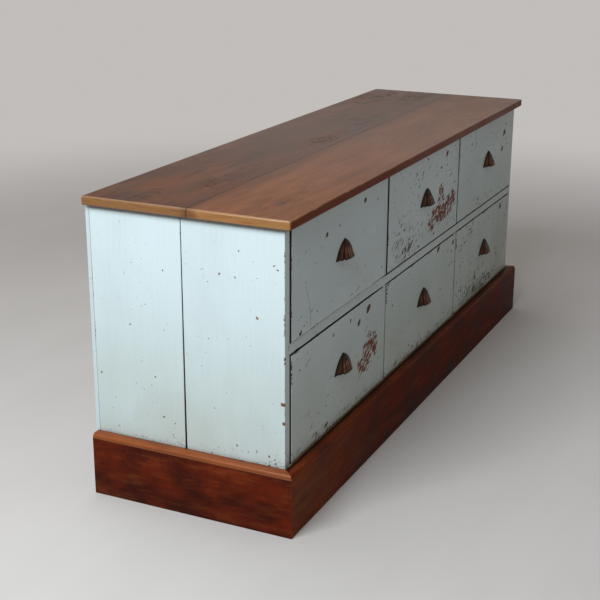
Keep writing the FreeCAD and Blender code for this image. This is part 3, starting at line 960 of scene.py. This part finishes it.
def top_varnish(name, low, high, body, red, gold, knots, bared, figure, shift):
    """Brown stain and varnish on a top board, dark round its knots and gold at its edges.

    Knots are (x, y, size), bared places are (x, y, sizes of an oval), and figure says how
    strongly the grain shows.
    """
    material, shader, where = new_material(name, top_sheen)
    x, y, z = split(where)

    def spot(place, spot_x, spot_y, wide, deep):
        return oval(place, (spot_x, spot_y, high.z), (wide, deep, oval_depth))

    # Stained wood with its rings, streaks and fibres.
    swirl = ragged_place(where, 7.0, 0.03)
    shaken = ragged_place(swirl, 26.0, 0.030)
    nears = [(spot(swirl, knot_x, knot_y, size * 7, size * 3.2), size)
             for knot_x, knot_y, size in knots]
    place = turned_along(where, "x", (0.02, 0.018, 0.03), shift)
    dark = summer_wood(growth_rings(place, 0.0068, 0.07, nears))
    fibres = mottle(place, (9, 240, 240))
    clouds = mottle(where, (3.0, 9, 9), 5.0, 0.58)
    streaks = mottle(where, (4.5, 34, 34), 5.0, 0.6, (4, 0, 0))
    colour = layered(body, (fade(clouds, 0.34, 0.66), red),
                     (dark * (0.16 + 0.37 * figure), top_dark),
                     (fade(streaks, 0.46, 0.68, 0.0, figure), top_dark),
                     (fade(fibres, 0.5, 0.8, 0.0, 0.25), top_dark))
    if bared:
        reddened = strongest([fade(spot(swirl, *patch), 1.1, 0.4) for patch in bared])
        reddened = reddened * fade(streaks, 0.40, 0.60)
        colour = layered(colour, (reddened * 0.7, red))

    # Knots, and the grain that curls round them.
    curls = []
    for near, size in nears:
        colour = layered(colour, (fade(near, 1.15, 0.35, 0.0, 0.40), top_dark),
                         (fade(near, 0.30, 0.16, 0.0, 0.85), top_dark))
    for knot_x, knot_y, size in knots:
        near = spot(shaken, knot_x, knot_y, size * 8, size * 3.6)
        curls.append(summer_wood(calc("FRACT", near * 2.0)) * fade(near, 2.0, 1.0))
    curled = strongest(curls) * fade(mottle(where, (16, 24, 16), 2.0), 0.44, 0.60)

    # End grain, the front edge, rubbed edges that also carry a painted highlight fading
    # towards the far end, dirt in the joint, and darker along the lower edge.
    on_end = fade(high.x - abs(x) + clouds * 0.004, 0.0078, 0.0048)
    end_lines = mottle(where, (1, 16, 330), 4.0, 0.6)
    end_grain = layered(gold, (fade(end_lines, 0.40, 0.75, 0.0, 0.75), red))
    on_front = fade(y, top_low.y + 0.0040, top_low.y + 0.0012)
    edge = edge_distance(where, top_low, top_high)
    rub = mottle(where, 22.0)
    # Gold on the arrises: worn wood, and a painted highlight that fades towards the far end.
    reach = fade(rub, 0.36, 0.75, 0.0006, 0.0036) + fade(x, -0.66, -0.84, 0.0, 0.0032)
    rubbed = fade(edge - reach, 0.0006, -0.0012) * fade(x, 0.3, -0.6, 0.25, 0.65)
    from_joint = abs(y - top_joint_y)
    seeped = fade(from_joint - clouds * 0.12, -0.022, -0.050) * 0.55
    in_joint = fade(from_joint - rub * 0.0012, 0.0007, 0.0) * fade(x, -0.7, -0.2, 0.6, 0.08)
    colour = layered(colour, (curled * figure, top_dark), (on_end, end_grain),
                     (on_front * 0.85, top_front_edge), (rubbed, gold),
                     (fade(z, low.z + 0.004, low.z + 0.001, 0.0, 0.6), top_dark),
                     (seeped, top_rear_brown), (in_joint, top_dark))

    # Dust and a painted sheen on the flat, greyer towards the far end, thinner at the near end
    # and where the grain shows.
    smudge = mottle(where, (5, 8, 5), 5.0, 0.65)
    dust_and_sheen = fade(x, -0.85, 0.1, 0.07, 0.46) * fade(smudge, 0.30, 0.72, 0.7, 1.3)
    dust_and_sheen = dust_and_sheen * fade(z, high.z - 0.004, high.z - 0.001)
    clean = strongest([curled, reddened * 0.5]) if bared else curled
    colour = layered(colour, (dust_and_sheen * (1.0 - clean), top_dust_and_sheen))

    polished = fade(edge, 0.0055, 0.0015) * (1.0 - on_front)
    dents = fade(mottle(where, 30.0, 2.0), 0.22, 0.32, -0.0003, 0.0)
    fill(shader, {"Base Color": colour, "Coat Weight": polished * 0.85, "Coat Roughness": 0.2,
                  "Roughness": fade(smudge, 0.30, 0.72, 0.30, 0.44) - polished * 0.14,
                  "Normal": relief(dark * 0.00004 + fibres * 0.00003 + dents
                                   + clouds * 0.0009)})
    return material


def top_board(name, *look):
    """One board of the top, with its edges eased except along the joint."""
    low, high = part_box(name + "_board")

    def roundness(middle):
        if abs(middle.y - top_joint_y) < top_joint_reach:
            return top_joint_share
        return top_lower_share if middle.z < low.z + top_lower_reach else 1.0

    piece = add_piece(name, board_shape(low, high, "x", wander=top_wander, weight=roundness),
                      top_varnish(name + "_varnish", low, high, *look), "top_pine", "chest",
                      name + "_board")
    soften(piece, top_edge_round, segments=5, weighted=True)
    settle(piece)


top_board("top_front", top_brown, top_red, top_gold, top_front_knots, [], 0.27,
          (0.4, 0.16, -0.62))
top_board("top_rear", top_rear_brown, top_rear_red, top_rear_gold, top_rear_knots,
          top_rear_bared, 0.8, (0.9, -0.09, -0.60))


# Drawers
# Six pine boxes. The sides are let into the front with lapped dovetails and into the back
# with through dovetails, and a thin bottom slides in grooves. Fronts are painted, chipped by
# keys and knees, and one has flaked down to the red-brown beneath. The boxes are bare.
front_edge_round = 0.0013
drawer_paint_wrap = 0.0007
brushed_further = {"lower_left": 0.0008, "lower_middle": 0.0039, "lower_right": 0.0035,
                   "upper_right": 0.0016}
front_flecks = {"upper_left": 0.35, "upper_middle": 1.05, "upper_right": 0.80,
                "lower_left": 0.70, "lower_middle": 0.75, "lower_right": 1.15}
front_chips = {
    "upper_left": [(391, 219, 14), (176, 189, 12), (245, 194, 8), (43, 8, 12), (60, 18, 5),
                   (129, 31, 4), (320, 12, 5), (470, 205, 6), (120, 140, 4), (505, 30, 5)],
    "upper_middle": [(429, 221, 18), (275, 234, 8), (383, 192, 8), (194, 210, 9),
                     (102, 28, 12), (152, 31, 11), (120, 12, 9), (205, 193, 6), (338, 20, 8)],
    "upper_right": [(437, 186, 21), (421, 138, 18), (108, 206, 7), (150, 202, 6),
                    (184, 28, 8), (330, 22, 7), (455, 210, 7)],
    "lower_left": [(425, 221, 22), (367, 203, 17), (217, 222, 8), (184, 17, 13), (186, 6, 9),
                   (315, 226, 7), (449, 124, 9), (435, 92, 6), (40, 200, 5), (255, 140, 5)],
    "lower_middle": [(386, 238, 18), (514, 226, 15), (9, 243, 9), (42, 180, 7), (470, 212, 6),
                     (170, 30, 7), (330, 60, 5)],
    "lower_right": [(436, 227, 19), (284, 12, 10), (17, 91, 7), (40, 60, 8), (120, 24, 8),
                    (310, 30, 9), (230, 14, 8)],
}
front_patches = {
    "upper_middle": [((402, 68), (236, 66)), ((392, 112), (52, 70)), ((474, 84), (96, 62)),
                     ((318, 50), (56, 60))],
    "lower_left": [((440, 116), (118, 84)), ((402, 88), (90, 58))],
}
front_scuffs = {
    "upper_left": [((80, 30), (160, 60)), ((380, 20), (200, 30))],
    "upper_middle": [((140, 56), (300, 150)), ((140, 40), (300, 100)), ((220, 180), (110, 120)),
                     ((430, 190), (200, 100)), ((400, 34), (260, 60)), ((128, 26), (90, 34))],
    "upper_right": [((120, 205), (160, 60)), ((440, 170), (110, 150)), ((230, 20), (300, 50))],
    "lower_left": [((420, 110), (170, 200)), ((240, 12), (480, 30)), ((60, 220), (120, 60))],
    "lower_middle": [((260, 10), (520, 26)), ((500, 180), (60, 160))],
    "lower_right": [((250, 22), (420, 74)), ((60, 90), (110, 160)), ((430, 60), (150, 120)),
                    ((230, 26), (300, 60)), ((240, 36), (220, 90)), ((130, 210), (190, 90)),
                    ((110, 34), (200, 80)), ((200, 60), (240, 130))],
}
front_scratches = {"upper_left": [((-74, 13), 168, 1, 108)]}


def drawer(name):
    """One drawer: a painted front cut for its box, and the bare solids of the box."""
    body = name + "_drawer"
    low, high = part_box(body + "_front")

    def on_front(x, z):
        return Vector((low.x + x * mm, low.y, low.z + z * mm))

    def ovals(listed):
        return [(on_front(x, z), (wide * mm, oval_depth, tall * mm))
                for (x, z), (wide, tall) in listed]

    chips = [(on_front(x, z), size * mm) for x, z, size in front_chips[name]]
    scratches = [(on_front(x, z), radius * mm, low.z + bottom * mm, low.z + top * mm)
                 for (x, z), radius, bottom, top in front_scratches.get(name, ())]
    paint = duck_egg(body + "_front_paint", low, high, "x", [(1, low.y, 1)], front_flecks[name],
                     chips=chips, patches=ovals(front_patches.get(name, ())),
                     scuffs=ovals(front_scuffs[name]), scratches=scratches, grime=0.3,
                     wrap=drawer_paint_wrap,
                     brushed_side=(low.x, brushed_further.get(name, 0.0)))
    face = add_piece(body + "_face", board_shape(low, high, "x"), paint, "painted_pine", body,
                     body + "_front")
    soften(face, front_edge_round)
    cut_out(face, *[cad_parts[body + part] for part in ("_left_side", "_right_side",
                                                             "_bottom")])
    for part in ("_left_side", "_right_side"):
        finish_node(body + part, pine_front_to_back)
    for part in ("_bottom", "_back"):
        finish_node(body + part, pine_lengthwise)


drawer_names = [row + "_" + column for row in ("lower", "upper")
                for column in ("left", "middle", "right")]
for name in drawer_names:
    drawer(name)


# Shell pulls
# A thin cast fan of iron on each drawer, pointed at the top, with seven flutes running down
# to a scalloped lip. Fingers go up under the lip. Browned, with the ribs rubbed brassy.
pull_height = 0.044
pull_foot_width = 0.096
pull_projection = 0.0195
pull_rim = 0.0016
pull_wall = 0.0022
pull_foot_flare = 0.005
pull_fan_fullness = 0.8
pull_flare_sharpness = 6
pull_bend = 1.15
pull_tip_pinch = 0.5
pull_tip_length = 0.006
pull_flute_count = 7
pull_flute_depth = 0.052
pull_flute_sharpness = 1.5
pull_fluted_share = 0.8
pull_lip_scallop = 0.0016
pull_lip_height = 0.006
pull_bell_flatness = 4
pull_bell_steepness = 4.7
pull_hollow_from_tip = 0.0185
pull_hollow_share = 0.93
pull_first_line = 0.02
pull_line_spread = 1.15
pull_lines = 18
pull_hollow_lines = 9
pull_points_per_flute = 8
pull_points_per_ear = 5
pull_crease = math.radians(38)
pull_sheen = 0.2
screw_from_tip = 0.0125
screw_head_radius = 0.004
screw_sunk = 0.0008
drill_length = 0.02
round_segments = 32
pull_black = (0.013, 0.008, 0.0065, 1)
pull_dark = (0.045, 0.019, 0.012, 1)
pull_brown = (0.088, 0.029, 0.015, 1)
pull_brass = (0.40, 0.20, 0.075, 1)


def pull_half_width(depth):
    """Half the width of the fan at a depth below its tip."""
    share = depth / pull_height
    fan = math.sin(math.pi / 2 * min(share, 1.0)) ** pull_fan_fullness
    flare = pull_foot_flare * share ** pull_flare_sharpness
    pinch = pull_tip_pinch + (1 - pull_tip_pinch) * min(1.0, depth / pull_tip_length)
    return ((pull_foot_width / 2 - pull_foot_flare) * fan + flare) * pinch


def pull_rise(depth):
    """How far the middle of the fan stands out at a depth below its tip."""
    rise = math.sin(pull_bend * depth / pull_height) / math.sin(pull_bend)
    return pull_rim + (pull_projection - pull_rim) * rise


def bell(share):
    """1 in the middle of the fan, falling to 0 at its feet in a spread foot."""
    return (1 - abs(share) ** pull_bell_flatness) ** pull_bell_steepness


def fluting(share):
    """1 in the bottom of each flute, 0 on the ribs and beyond the fluted part."""
    if abs(share) >= pull_fluted_share:
        return 0.0
    turns = pull_flute_count * (share / pull_fluted_share + 1) / 2
    return ((1 + math.cos(2 * math.pi * turns)) / 2) ** pull_flute_sharpness


def shares_across():
    """The places across the fan, from -1 to 1, close in the flutes and wide in the ears."""
    count = pull_flute_count * pull_points_per_flute
    fluted = [pull_fluted_share * (2 * step / count - 1) for step in range(count + 1)]
    ear = [pull_fluted_share + (1 - pull_fluted_share) * step / pull_points_per_ear
           for step in range(1, pull_points_per_ear + 1)]
    return [-share for share in reversed(ear)] + fluted + ear


def fan_line(depth, scallop, inside):
    """A line across the fan, outside with its flutes or inside without them."""
    points = []
    for share in shares_across():
        flute = fluting(share)
        if inside:
            half = pull_half_width(depth) * pull_hollow_share - pull_wall / 2
            out = (pull_rise(depth) * (1 - pull_flute_depth) - pull_wall) * bell(share)
        else:
            drawn_in = 1 - pull_flute_depth * flute
            half = pull_half_width(depth) * drawn_in
            out = (pull_rim + (pull_rise(depth) - pull_rim) * bell(share)) * drawn_in
        points.append(Vector((half * share, -out, scallop * flute - depth)))
    if not inside:
        first, last = [Vector((point.x, 0, point.z)) for point in (points[0], points[-1])]
        points = [first] + points + [last]
    return points


def fan_shape(tip):
    """The closed skin of one pull: outside, inside, lip, tip, roof of the hollow and back."""
    shape = bmesh.new()
    outer_depths = [pull_height * (pull_first_line + (1 - pull_first_line)
                                   * (step / (pull_lines - 1)) ** pull_line_spread)
                    for step in range(pull_lines)]
    span = pull_height - pull_hollow_from_tip
    inner_depths = [pull_hollow_from_tip + span * step / (pull_hollow_lines - 1)
                    for step in range(pull_hollow_lines)]
    skins = []
    for depths, inside in ((outer_depths, False), (inner_depths, True)):
        rows = []
        for depth in depths:
            scallop = pull_lip_scallop * ramp(depth, pull_height - pull_lip_height, pull_height)
            rows.append([shape.verts.new(point + tip)
                         for point in fan_line(depth, scallop, inside)])
        skins.append(rows)
        skin(shape, rows, closed=False)
    outer, inner = skins
    skin(shape, [outer[-1][1:-1], inner[-1]], closed=False)
    shape.faces.new((outer[-1][0], outer[-1][1], inner[-1][0]))
    shape.faces.new((outer[-1][-1], outer[-1][-2], inner[-1][-1]))
    shape.faces.new(outer[0])
    shape.faces.new(inner[0])
    left = [row[0] for row in outer] + [row[0] for row in reversed(inner)]
    right = [row[-1] for row in inner] + [row[-1] for row in reversed(outer)]
    shape.faces.new(left + right)
    return shape


def pull_iron():
    """Browned iron, near black in the flutes and round the rim, brassy on the rubbed ribs."""
    material, shader, where = new_material("shell_iron", pull_sheen)
    rib, rim = [put("Attribute", output="Fac", tree=material.node_tree, attribute_name=wear)
                for wear in ("rib", "rim")]
    cloud = mottle(where, 75.0)
    rubbed = fade(rib, 0.45, 0.9) * fade(cloud, 0.38, 0.60, 0.35, 1.0)
    bright = fade(split(where)[0], -0.5, 0.1, 0.48, 0.20)
    worked = layered(pull_dark, (fade(cloud, 0.35, 0.65), pull_brown))
    colour = layered(pull_black, (fade(rib, 0.10, 0.50), worked),
                     (rubbed * bright, pull_brass), (rim * 0.85, pull_black))
    fill(shader, {"Base Color": colour, "Metallic": 0.6,
                  "Roughness": fade(rubbed, 0.0, 1.0, 0.52, 0.32),
                  "Normal": relief(mottle(where, 420.0) * 0.00012)})
    return material


def note_wear(piece, tip):
    """Marks each point of a pull by how much hands rub it, and by how near the rim it is."""
    rib = piece.data.attributes.new("rib", "FLOAT", "POINT")
    rim = piece.data.attributes.new("rim", "FLOAT", "POINT")
    for vertex, rib_value, rim_value in zip(piece.data.vertices, rib.data, rim.data):
        off = vertex.co - tip
        half = max(pull_half_width(-off.z), 0.002)
        share = max(-1.0, min(1.0, off.x / half))
        down = ramp(-off.z, 0, pull_height)
        handled = (0.2 + 0.8 * ramp(down, 0.1, 0.5)) * (1 - 0.5 * ramp(down, 0.86, 0.98))
        rib_value.value = (1 - fluting(share)) * handled * (1 - abs(share)) ** 0.35
        rim_value.value = max(ramp(abs(share), 0.80, 0.95), ramp(down, 0.93, 0.99),
                              ramp(down, 0.10, 0.04))


def carve(piece, shape):
    """Cuts a mesh in the making out of a piece."""
    tool = as_object("tool", shape)
    cut_out(piece, tool)
    bpy.data.objects.remove(tool)


iron = pull_iron()
screw_seat = -pull_rise(screw_from_tip) + screw_sunk
pull_tips = {}
for name in drawer_names:
    low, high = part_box(name + "_drawer_pull")
    tip = Vector(((low.x + high.x) / 2, high.y, low.z + pull_height))
    pull_tips[name] = tip
    fan = add_piece(name + "_shell", fan_shape(tip), iron, "pull_iron", name + "_drawer",
                    name + "_drawer_pull")
    for face in fan.data.polygons:
        face.use_smooth = True
    fan.data.set_sharp_from_angle(angle=pull_crease)
    drill = bmesh.new()
    bmesh.ops.create_cone(drill, cap_ends=True, segments=round_segments, depth=drill_length,
                          radius1=screw_head_radius, radius2=screw_head_radius)
    turn = Matrix.Rotation(math.pi / 2, 4, "X")
    place = Matrix.Translation(tip + Vector((0, screw_seat - drill_length / 2, -screw_from_tip)))
    bmesh.ops.transform(drill, matrix=place @ turn, verts=drill.verts)
    carve(fan, drill)
    note_wear(fan, tip)


# Pull screws
# One slotted steel wood screw through each pull into the drawer front, its head sunk in
# the shell. The steel has gone black and is rubbed brighter in spots.
screw_head_dome = 0.0005
screw_head_edge = 0.0006
screw_cone_length = 0.0024
screw_shank_radius = 0.0019
screw_length = 0.025
screw_point_length = 0.004
screw_point_radius = 0.0004
screw_slot_width = 0.0010
screw_slot_depth = 0.0009
screw_crease = math.radians(30)
screw_turns = (35, 100, 12, 64, 150, 80)
steel_dark = (0.014, 0.012, 0.011, 1)
steel_rubbed = (0.13, 0.11, 0.09, 1)


def screw_shape():
    """A countersunk screw along +Y with its head at the origin."""
    shape = bmesh.new()
    profile = [(screw_head_radius * 0.5, -screw_head_dome * 0.8), (screw_head_radius, 0),
               (screw_head_radius, screw_head_edge),
               (screw_shank_radius, screw_head_edge + screw_cone_length),
               (screw_shank_radius, screw_length - screw_point_length),
               (screw_point_radius, screw_length)]
    angles = [2 * math.pi * step / round_segments for step in range(round_segments)]
    skin(shape, [[shape.verts.new((radius * math.cos(angle), y, radius * math.sin(angle)))
                  for angle in angles] for radius, y in profile])
    return shape


steel = spotted_metal("screw_steel", 500.0, (0.5, 0.68), steel_dark, steel_rubbed, 0.85, 0.42)
for name, turn in zip(drawer_names, screw_turns):
    place = (Matrix.Translation(pull_tips[name] + Vector((0, screw_seat, -screw_from_tip)))
             @ Matrix.Rotation(math.radians(turn), 4, "Y"))
    shape = screw_shape()
    bmesh.ops.transform(shape, matrix=place, verts=shape.verts)
    screw = add_piece(name + "_screw", shape, steel, "screw_steel", name + "_drawer",
                      name + "_drawer_pull_screw")
    bar = bmesh.new()
    size = Matrix.Diagonal((screw_head_radius * 3, screw_slot_depth * 2, screw_slot_width, 1))
    bmesh.ops.create_cube(bar, matrix=place @ size)
    carve(screw, bar)
    screw.data.set_sharp_from_angle(angle=screw_crease)
